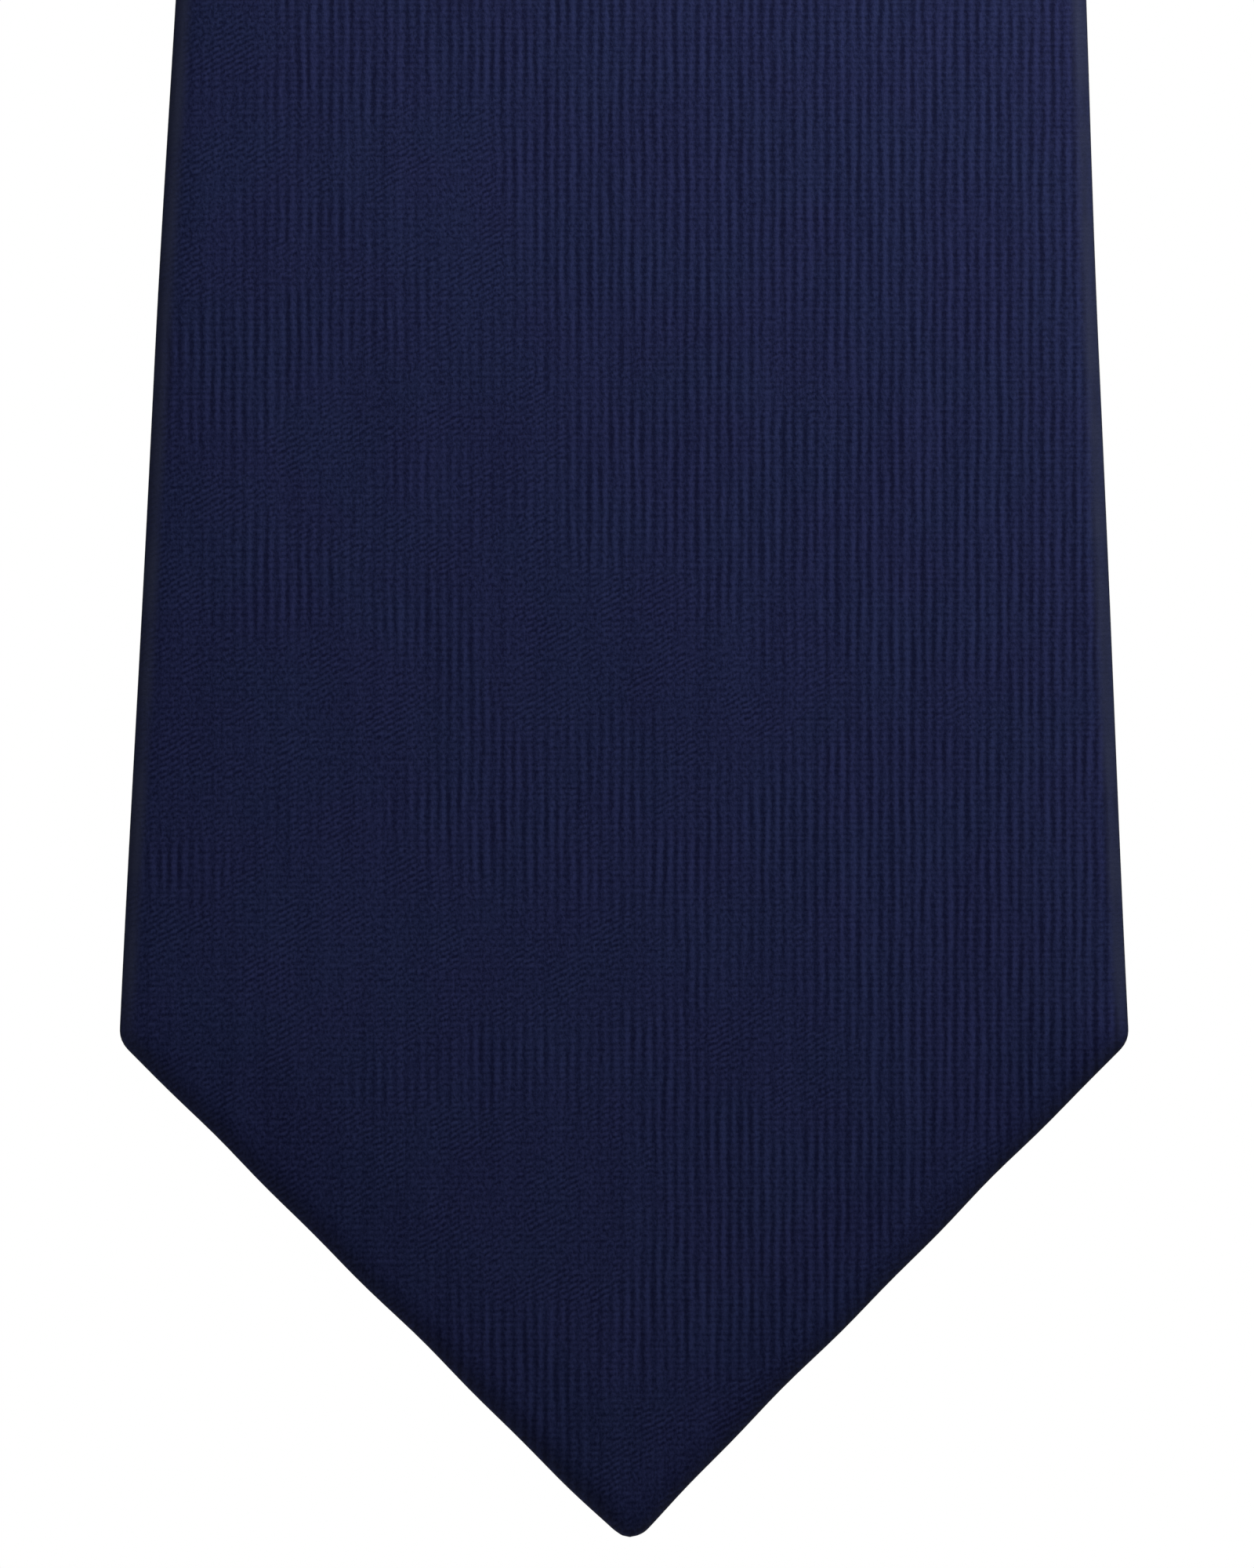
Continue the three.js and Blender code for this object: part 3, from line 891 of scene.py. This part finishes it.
def silk():
    """Navy silk: upright ribs that come and go in short runs, fine picks, and slanting lines where
    the two beat."""
    g = Graph("navy_ribbed_silk")
    at, across, along = cloth_coordinates(g)
    wander = g.math("MULTIPLY_ADD", g.noise(stretched(g, at, 1, 0.3), 0.5, 3), 0.6, -0.3)
    drift = g.math("MULTIPLY_ADD", g.noise(at, 0.9, 2), 0.3, -0.15)
    rib_turn = g.math("MULTIPLY", g.math("ADD", across, wander), math.tau / RIB)
    pick_turn = g.math("MULTIPLY", g.math("ADD", along, drift), math.tau / PICK)
    rib = g.math("COSINE", rib_turn)
    pick = g.math("COSINE", pick_turn)
    slant = g.math("COSINE", g.math("SUBTRACT", rib_turn, pick_turn))
    runs = g.spread(g.noise(stretched(g, at, 0.9, 0.22), 1.0, 2), 0.3, 0.7, 0.35, 1.25)
    drift_up = g.math("MULTIPLY_ADD", along, 1 / 120, REGION_MIDDLE)
    lean = g.math("MULTIPLY_ADD", across, 1 / 45, drift_up)
    lean = g.math("MINIMUM", g.math("MAXIMUM", lean, -1.0), 1.0)
    region = g.math("MULTIPLY_ADD", lean, 0.19, g.noise(at, 0.05, 2))
    ribbed = g.math("MULTIPLY", g.spread(region, 0.36, 0.56, 0.1, 1.1), runs)
    patches = g.spread(g.noise(at, 0.22, 2), 0.4, 0.65, 0.25, 1.0)
    slanted = g.math("MULTIPLY", g.spread(region, 0.4, 0.55, 0.7, 0.05), patches)
    height = g.math("MULTIPLY", rib, g.math("MULTIPLY", ribbed, 0.42))
    height = g.math("MULTIPLY_ADD", slant, g.math("MULTIPLY", slanted, 0.45), height)
    height = g.math("MULTIPLY_ADD", pick, 0.13, height)
    fibre = g.noise(stretched(g, at, 1.6, 1.0), 2.4, 5, 0.75)
    fuzz = g.math("MULTIPLY", g.math("SUBTRACT", fibre, 0.5), g.spread(region, 0.36, 0.56, 4.2, 3.0))
    height = g.math("ADD", height, fuzz)
    streak = g.noise(stretched(g, at, 0.7, 0.05), 1.0, 2)
    height = g.math("ADD", height, g.math("MULTIPLY_ADD", streak, 0.5, -0.25))
    # painted light and shade on the weave: the colour follows the weave's height, rib tops painted lighter
    # and the hollows between them painted darker, over the bump; the cool copies are painted the same way
    # and mixed in by a slow random tone
    shade = g.spread(height, -0.75, 0.85)
    colour = g.blend(shade, SILK_DARK, SILK_LIGHT)
    tone = g.noise(at, 0.12, 2)
    cool = g.blend(shade, SILK_DARK_COOL, SILK_LIGHT_COOL)
    colour = g.blend(g.spread(tone, 0.35, 0.65, 0, 0.35), colour, cool)
    rim = g.node("ShaderNodeAttribute", attribute_name="rim").outputs["Fac"]
    # a greyer, lighter band where the good face rolls into its folded edges, weaker at the point: partly
    # rubbed wear, partly painted light standing in for light on the rolled edge
    worn_and_lit_edge = g.math("MULTIPLY", g.spread(rim, 0.03, 0.3), g.spread(g.noise(at, 0.15, 2), 0.3, 0.7, 0.6, 1.0))
    point_end = (front.tip + front.shoulder_half) / MM
    worn_and_lit_edge = g.math("MULTIPLY", worn_and_lit_edge, g.spread(along, point_end - 4, point_end + 8, 0.15, 1.0))
    colour = g.blend(worn_and_lit_edge, colour, SILK_WORN_AND_LIT)
    # painted shade: the outermost turn of each folded edge is painted near black, in place of the shade
    # that falls there
    colour = g.blend(g.spread(rim, 0.72, 0.94, 0, 0.9), colour, SILK_PAINTED_EDGE_SHADE)
    bumped(g, height, 0.05 * MM, 0.55)
    return g.finish(
        Base_Color=colour,
        Roughness=0.6,
        Specular_IOR_Level=0.08,
    )


def waves(g, at, along, pitch, unevenness=0.1):
    """Even lines at a pitch in millimetres, which wander a little."""
    wander = g.math("MULTIPLY_ADD", g.noise(at, 0.8, 2), 2 * unevenness, -unevenness)
    return g.math("COSINE", g.math("MULTIPLY", g.math("ADD", along, wander), math.tau / pitch))


def satin_lining():
    g = Graph("navy_satin_lining")
    at, across, along = cloth_coordinates(g)
    twill = waves(g, at, g.math("MULTIPLY_ADD", across, 0.6, along), 0.33, 0.06)
    slub = g.noise(stretched(g, at, 0.25, 2.6), 1.0, 3)
    height = g.math("MULTIPLY_ADD", twill, 0.25, slub)
    colour = g.blend(g.spread(height, 0.1, 0.9), (0.006, 0.009, 0.038, 1), (0.02, 0.027, 0.1, 1))
    bumped(g, height, 0.035 * MM)
    return g.finish(
        Base_Color=colour,
        Roughness=0.4,
        Specular_IOR_Level=0.1,
        Anisotropic=0.5,
    )


def wool():
    g = Graph("undyed_wool")
    at, across, along = cloth_coordinates(g)
    weave = g.math("MULTIPLY", waves(g, at, across, 0.8, 0.2), waves(g, at, along, 0.8, 0.2))
    fuzz = g.noise(at, 3.5, 4, 0.7)
    height = g.math("MULTIPLY_ADD", weave, 0.2, fuzz)
    colour = g.blend(g.spread(height, 0.25, 0.8), (0.42, 0.37, 0.28, 1), (0.78, 0.74, 0.64, 1))
    bumped(g, height, 0.15 * MM)
    return g.finish(
        Base_Color=colour,
        Roughness=0.95,
        Specular_IOR_Level=0.1,
        Sheen_Weight=0.4,
        Sheen_Roughness=0.6,
    )


def sewing_thread():
    """Two plies twisted together: slanting grooves round the thread."""
    g = Graph("navy_silk_thread")
    at, across, along = cloth_coordinates(g)
    turn = g.math("MULTIPLY", across, 2.0 * MM / THREAD_RADIUS)
    ply = g.math("COSINE", g.math("MULTIPLY_ADD", along, math.tau / 0.5, turn))
    hair = g.noise(stretched(g, at, 6, 1.5), 1.0, 2)
    height = g.math("MULTIPLY_ADD", ply, 0.5, hair)
    colour = g.blend(g.spread(height, 0.0, 1.0), (0.005, 0.007, 0.026, 1), (0.026, 0.032, 0.105, 1))
    bumped(g, height, 0.05 * MM)
    return g.finish(
        Base_Color=colour,
        Roughness=0.5,
        Specular_IOR_Level=0.2,
    )


def within(g, value, low, high, soft=0.06):
    """1 where a value's size lies between low and high millimetres."""
    size = g.math("ABSOLUTE", value)
    above = g.spread(size, low - soft, low + soft)
    below = g.spread(size, high + soft, high - soft)
    return g.math("MULTIPLY", above, below)


def woven_label(half_width, half_height):
    """A blank damask label: navy satin with a thin paler border woven in."""
    g = Graph("navy_label_satin")
    at, across, along = cloth_coordinates(g)
    picks = waves(g, at, along, 0.28, 0.03)
    ends = waves(g, at, across, 0.36, 0.03)
    sideways = g.math("SUBTRACT", g.math("ABSOLUTE", across), half_width - half_height)
    inset = g.math("MAXIMUM", sideways, g.math("ABSOLUTE", along))
    border = within(g, inset, half_height - 3.5, half_height - 3.0)
    height = g.math("MULTIPLY_ADD", picks, 0.4, g.math("MULTIPLY", ends, 0.25))
    height = g.math("ADD", height, g.noise(stretched(g, at, 1.2, 3), 1.5, 2))
    field = g.blend(g.spread(height, 0.0, 1.0), (0.008, 0.011, 0.035, 1), (0.024, 0.031, 0.095, 1))
    pale = g.blend(g.spread(height, 0.0, 1.0), (0.16, 0.17, 0.22, 1), (0.42, 0.44, 0.5, 1))
    bumped(g, g.math("MULTIPLY_ADD", border, 0.8, height), 0.05 * MM)
    return g.finish(
        Base_Color=g.blend(border, field, pale),
        Roughness=0.4,
        Specular_IOR_Level=0.35,
        Anisotropic=0.4,
    )


def care_tape():
    g = Graph("off_white_satin_tape")
    at, across, along = cloth_coordinates(g)
    picks = waves(g, at, along, 0.3, 0.04)
    selvage = within(g, across, 11.0, 12.4, 0.2)
    slub = g.noise(stretched(g, at, 0.3, 2.5), 1.0, 3)
    height = g.math("MULTIPLY_ADD", picks, 0.3, slub)
    colour = g.blend(g.spread(height, 0.1, 0.9), (0.5, 0.48, 0.43, 1), (0.74, 0.73, 0.69, 1))
    colour = g.blend(g.math("MULTIPLY", selvage, 0.35), colour, (0.45, 0.43, 0.38, 1))
    bumped(g, height, 0.04 * MM)
    return g.finish(
        Base_Color=colour,
        Roughness=0.42,
        Specular_IOR_Level=0.4,
        Sheen_Weight=0.1,
        Sheen_Roughness=0.4,
    )


# ---------------------------------------------------------------- pieces, finishes and bodies

label_half = (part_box("maker_label")[1] - middle("maker_label")) / MM
FINISH = {
    "silk": silk(),
    "tipping": satin_lining(),
    "interlining": wool(),
    "thread": sewing_thread(),
    "label": woven_label(label_half.x, label_half.z),
    "care_tape": care_tape(),
}


def finished(thing, slot, *nodes):
    thing.data.materials.append(FINISH[slot])
    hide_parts(*nodes)
    return thing


def rides(thing, body, slot, *nodes):
    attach(thing, body)
    return finished(thing, slot, *nodes)


def bends(thing, end, body_a, body_b, z, reach, slot, *nodes):
    """Bakes a piece into the frame where it stands and gives it its finish; it is not attached to a body.
    body_a, body_b, z and reach are not used.
    """
    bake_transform(thing)
    return finished(thing, slot, *nodes)


def girth(end, top, bottom):
    """How wide the folded cloth is when opened out, at its widest between two heights."""
    z = np.repeat(np.linspace(top, bottom, 30)[:, None], len(COLUMNS), 1)
    x, depth, _ = fold_section(end, z)
    return float(np.hypot(np.diff(x), np.diff(depth)).sum(1).max())


def build_neck():
    arch = rides(neck_arch("neck_silk_arch"), "neck", "silk", "neck_shell_arch")
    girth(front, -ARCH_END, -ARCH_END)
    wadding = rides(arch_interlining("neck_interlining_strip"), "neck", "interlining", "neck_interlining")
    along = arch_rows()
    thread = slip_stitch("neck_slip_thread", 1, along[0], along[-1], arch_place)
    rides(thread, "neck", "thread", "slip_stitch_neck")


def build_end(name, end):
    upper, lower = f"{name}_upper", f"{name}_lower"
    swing = joints[f"{name}_swing"]["pos_m"][2]
    split = -INNER_SPLIT
    neck_bend = ("neck", upper, swing, NECK_BEND)
    fold_bend = (upper, lower, end.fold, FOLD_BEND)

    neck_silk = neck_end(f"neck_silk_{name}_end", end)
    bends(neck_silk, end, *neck_bend, "silk", f"neck_shell_{name}_end")
    girth(end, -ARCH_END, end.seam)
    blade_silk = blade(f"{name}_blade_silk", end)
    bends(blade_silk, end, *fold_bend, "silk", f"{name}_shell_upper", f"{name}_shell_lower")
    widest = girth(end, end.seam, end.tip + end.shoulder_half)
    seam = rides(piecing_seam(f"{name}_seam_stitches", end), upper, "thread", f"{name}_piecing_seam")

    satin = rides(tipping(f"{name}_tipping", end), lower, "tipping", f"{name}_tipping")

    wool_nodes = (f"{name}_interlining_upper", f"{name}_interlining_lower")
    neck_wool = interlining(f"{name}_interlining_neck", end, -ARCH_END, split, swing)
    bends(neck_wool, end, *neck_bend, "interlining", wool_nodes[0])
    blade_wool = interlining(f"{name}_interlining_blade", end, split, end.lowest() + 2.5 * MM, end.fold)
    bends(blade_wool, end, *fold_bend, "interlining", *wool_nodes)

    thread_nodes = (f"slip_stitch_{name}_upper", f"slip_stitch_{name}_lower")
    neck_thread = slip_stitch(f"{name}_slip_thread_neck", end.over, -ARCH_END, split, end.place)
    bends(neck_thread, end, *neck_bend, "thread", thread_nodes[0])
    blade_thread = slip_stitch(f"{name}_slip_thread_blade", end.over, split, end.opening, end.place)
    bends(blade_thread, end, *fold_bend, "thread", *thread_nodes)

    bar = whipped_bar(f"{name}_bar_tack_thread", end, 0, end.opening, BAR_LENGTH, 0)
    rides(bar, lower, "thread", f"{name}_bar_tack")
    loop_node = f"{name}_thread_loop"
    rides(spare_loop(f"{name}_spare_thread", loop_node, end), lower, "thread", loop_node)
    return blade_silk


def build_keeper_and_labels():
    body = "front_lower"
    band = rides(keeper_band("keeper_loop_silk"), body, "silk", "keeper_loop")
    low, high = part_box("keeper_loop")
    for side in ("left", "right"):
        node = f"keeper_tack_{side}"
        spot = middle(node)
        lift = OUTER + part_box(node)[0].y - THICK
        tack_thread = whipped_bar(f"{node}_thread", front, spot.x, spot.z, KEEPER_TACK, lift, True)
        rides(tack_thread, body, "thread", node)

    label = rides(maker_label("maker_label_tape"), body, "label", "maker_label")
    for side in ("left", "right"):
        node = f"label_stitch_{side}"
        rides(upright_row(f"{node}_thread", node, THICK + 0.62 * MM, 7), body, "thread", node)

    care = care_label("care_label_tape")
    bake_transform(care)
    finished(care, "care_tape", "care_label")
    low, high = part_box("care_label_stitch")
    z = middle("care_label_stitch").z
    row = stitch_row("care_label_stitches", (low.x, z), (high.x, z), THICK + 0.6 * MM, 9)
    rides(row, body, "thread", "care_label_stitch")


build_neck()
front_blade = build_end("front", front)
build_end("tail", tail)
build_keeper_and_labels()

# ---------------------------------------------------------------- stage, light and camera

VIEW_WIDTH = 105.9 * MM
VIEW_HEIGHT = 132.4 * MM
VIEW_CENTRE = 63.65 * MM
CAMERA_DISTANCE = 1.5
FLOOR_RADIUS = 2.5
FLOOR_DROP = 0.5


def make_camera():
    data = bpy.data.cameras.new("camera")
    data.sensor_width = 36
    data.lens = data.sensor_width * (CAMERA_DISTANCE - OUTER) / VIEW_HEIGHT
    camera = bpy.data.objects.new("camera", data)
    camera.location = (0, -CAMERA_DISTANCE, front.lowest() + VIEW_CENTRE)
    camera.rotation_euler = (math.pi / 2, 0, 0)
    bpy.context.scene.collection.objects.link(camera)
    bpy.context.scene.camera = camera


def make_light(name, place, aim, size, power):
    data = bpy.data.lights.new(name, "AREA")
    data.shape = "DISK"
    data.size = size
    data.energy = power
    light = bpy.data.objects.new(name, data)
    light.location = place
    light.rotation_euler = (Vector(aim) - Vector(place)).to_track_quat("-Z", "Y").to_euler()
    light.visible_camera = False
    bpy.context.scene.collection.objects.link(light)


def make_world():
    """A white surround to look at, which lights the tie only softly."""
    world = bpy.data.worlds.new("studio")
    world.use_nodes = True
    nodes, links = world.node_tree.nodes, world.node_tree.links
    seen = nodes["Background"]
    seen.inputs["Color"].default_value = (1, 1, 1, 1)
    lit = nodes.new("ShaderNodeBackground")
    lit.inputs["Color"].default_value = (0.9, 0.95, 1, 1)
    lit.inputs["Strength"].default_value = 0.09
    path = nodes.new("ShaderNodeLightPath")
    mix = nodes.new("ShaderNodeMixShader")
    links.new(path.outputs["Is Camera Ray"], mix.inputs[0])
    links.new(lit.outputs[0], mix.inputs[1])
    links.new(seen.outputs[0], mix.inputs[2])
    links.new(mix.outputs[0], nodes["World Output"].inputs["Surface"])
    bpy.context.scene.world = world


def make_floor():
    """A pale round floor that brightens into the white surround towards its edge."""
    angle = np.linspace(0, math.tau, 96, endpoint=False)
    rim = np.stack([FLOOR_RADIUS * np.cos(angle), FLOOR_RADIUS * np.sin(angle), np.zeros_like(angle)], -1)
    thing = new_mesh("floor", rim, [list(range(len(rim)))])
    thing.location.z = front.tip - FLOOR_DROP
    g = Graph("pale_floor")
    place = g.node("ShaderNodeTexCoord").outputs["Object"]
    radius = g.node("ShaderNodeVectorMath", {0: place}, operation="LENGTH").outputs["Value"]
    seen = g.node("ShaderNodeLightPath").outputs["Is Camera Ray"]
    glow = g.spread(radius, 0.2 * FLOOR_RADIUS, 0.97 * FLOOR_RADIUS, 0.6, 1.0)
    white = (1, 1, 1, 1)
    strength = g.math("MULTIPLY", seen, glow)
    material = g.finish(Base_Color=(0.86, 0.86, 0.86, 1), Roughness=0.8, Emission_Color=white)
    g.put(g.shader.inputs["Emission Strength"], strength)
    thing.data.materials.append(material)


make_camera()
make_world()
make_floor()
tip_place = (0, -OUTER, front.tip + VIEW_CENTRE)
tie_middle = (0, 0, -0.4)
make_light("key", (0.16, -0.2, front.tip + 0.34), tip_place, size=0.15, power=1.55)
make_light("fill", (-1.3, -0.9, -0.1), tie_middle, size=0.9, power=5.5)
make_light("back", (0.5, 1.6, 0.0), tie_middle, size=0.9, power=17)

bpy.context.scene.view_settings.view_transform = "Standard"
